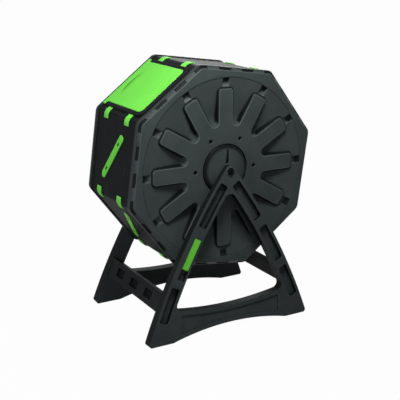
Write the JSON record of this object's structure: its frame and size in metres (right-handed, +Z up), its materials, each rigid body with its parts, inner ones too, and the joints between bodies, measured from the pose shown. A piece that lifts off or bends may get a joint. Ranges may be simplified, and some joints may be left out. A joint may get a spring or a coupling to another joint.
{
  "type": "compost tumbler",
  "caption": "Eight-sided plastic drum on a steel axle between two A-shaped stands, with a lift-off loading door, turned by hand to mix compost.",
  "frame": {"origin": "on the floor under the middle of the drum", "axes": "+X to the right seen from the end with the lock slider, +Y along the axle towards the other end, +Z up"},
  "size_m": [0.5728, 0.38, 0.7434],
  "materials": {
    "charcoal_plastic": "fine moulded grain",
    "black_plastic": "fine moulded grain",
    "bright_green_plastic": "satin moulded",
    "leaf_green_plastic": "satin moulded",
    "galvanised_steel": "galvanised"
  },
  "bodies": {
    "stand": {"front_a_frame": "charcoal_plastic", "rear_a_frame": "charcoal_plastic", "left_spreader_beam": "charcoal_plastic", "right_spreader_beam": "charcoal_plastic"},
    "drum": {"front_end_panel": "charcoal_plastic", "rear_end_panel": "charcoal_plastic", "front_hub_cap": "charcoal_plastic", "rear_hub_cap": "charcoal_plastic", "side_panel_left": "black_plastic", "mixing_bar_left": "bright_green_plastic", "side_panel_lower_left": "black_plastic", "mixing_bar_lower_left": "bright_green_plastic", "side_panel_bottom": "black_plastic", "mixing_bar_bottom": "bright_green_plastic", "side_panel_lower_right": "black_plastic", "mixing_bar_lower_right": "bright_green_plastic", "side_panel_right": "black_plastic", "mixing_bar_right": "bright_green_plastic", "side_panel_upper_right": "black_plastic", "mixing_bar_upper_right": "bright_green_plastic", "side_panel_top": "black_plastic", "door_frame_panel": "black_plastic", "corner_clips_1": "bright_green_plastic", "corner_clips_2": "bright_green_plastic", "corner_clips_3": "bright_green_plastic", "corner_clips_4": "bright_green_plastic", "corner_clips_5": "bright_green_plastic", "corner_clips_6": "bright_green_plastic", "corner_clips_7": "bright_green_plastic", "corner_clips_8": "bright_green_plastic", "axle_tube": "galvanised_steel", "front_axle_plug": "black_plastic", "rear_axle_plug": "black_plastic"},
    "door": {"door": "bright_green_plastic"},
    "lock": {"lock_slider": "leaf_green_plastic"}
  },
  "joints": [
    {"name": "drum_spin", "type": "hinge", "parent": "stand", "child": "drum", "pos_m": [0, 0, 0.457], "axis": [0, 1, 0], "continuous": true},
    {"name": "door_lift", "type": "slide", "parent": "drum", "child": "door", "axis": [-0.6088, 0, 0.7934], "range_m": [0, 0.08]},
    {"name": "lock_slide", "type": "slide", "parent": "stand", "child": "lock", "axis": [-0.4793, -0.0403, -0.8767], "range_m": [0, 0.03]}
  ]
}
